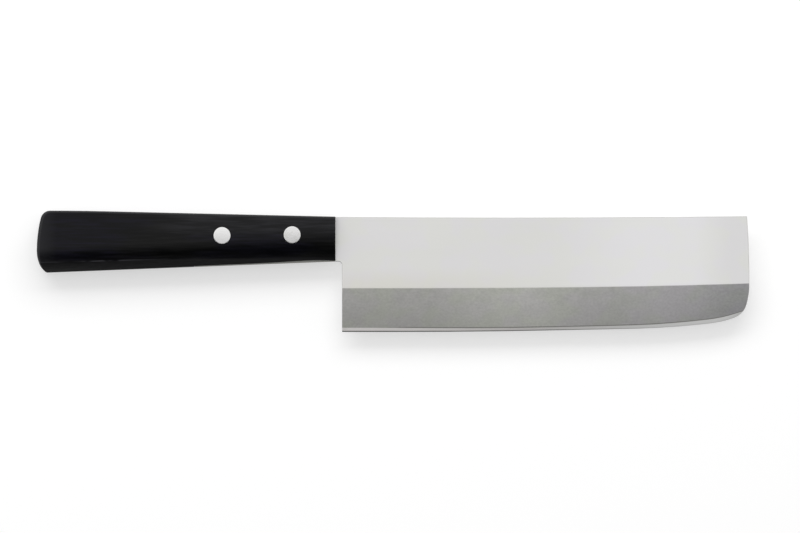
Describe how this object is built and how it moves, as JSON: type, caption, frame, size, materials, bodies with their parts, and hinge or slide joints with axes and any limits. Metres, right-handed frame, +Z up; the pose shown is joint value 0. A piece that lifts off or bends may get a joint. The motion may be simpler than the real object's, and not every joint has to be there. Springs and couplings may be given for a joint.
{
  "type": "nakiri knife",
  "caption": "Vegetable knife with a tall straight blade, a ground bevel on both sides, and a riveted wooden handle over a half tang.",
  "frame": {"origin": "bottom centre of the whole knife's box, lying on its side: below the middle of its length and height, on the surface it lies on", "axes": "+X from the butt of the handle to the tip, +Y from the cutting edge to the spine, +Z up through the thickness"},
  "size_m": [0.2886, 0.0492, 0.0167],
  "materials": {
    "blade_steel": "satin ground stainless steel",
    "handle_wood": "black laminated wood, polished to a low sheen",
    "rivet_steel": "polished, low domed heads"
  },
  "bodies": {
    "root": {"blade": "blade_steel", "handle": "handle_wood", "front_rivet_post": "rivet_steel", "front_rivet_sleeve": "rivet_steel", "rear_rivet_post": "rivet_steel", "rear_rivet_sleeve": "rivet_steel"}
  },
  "joints": []
}
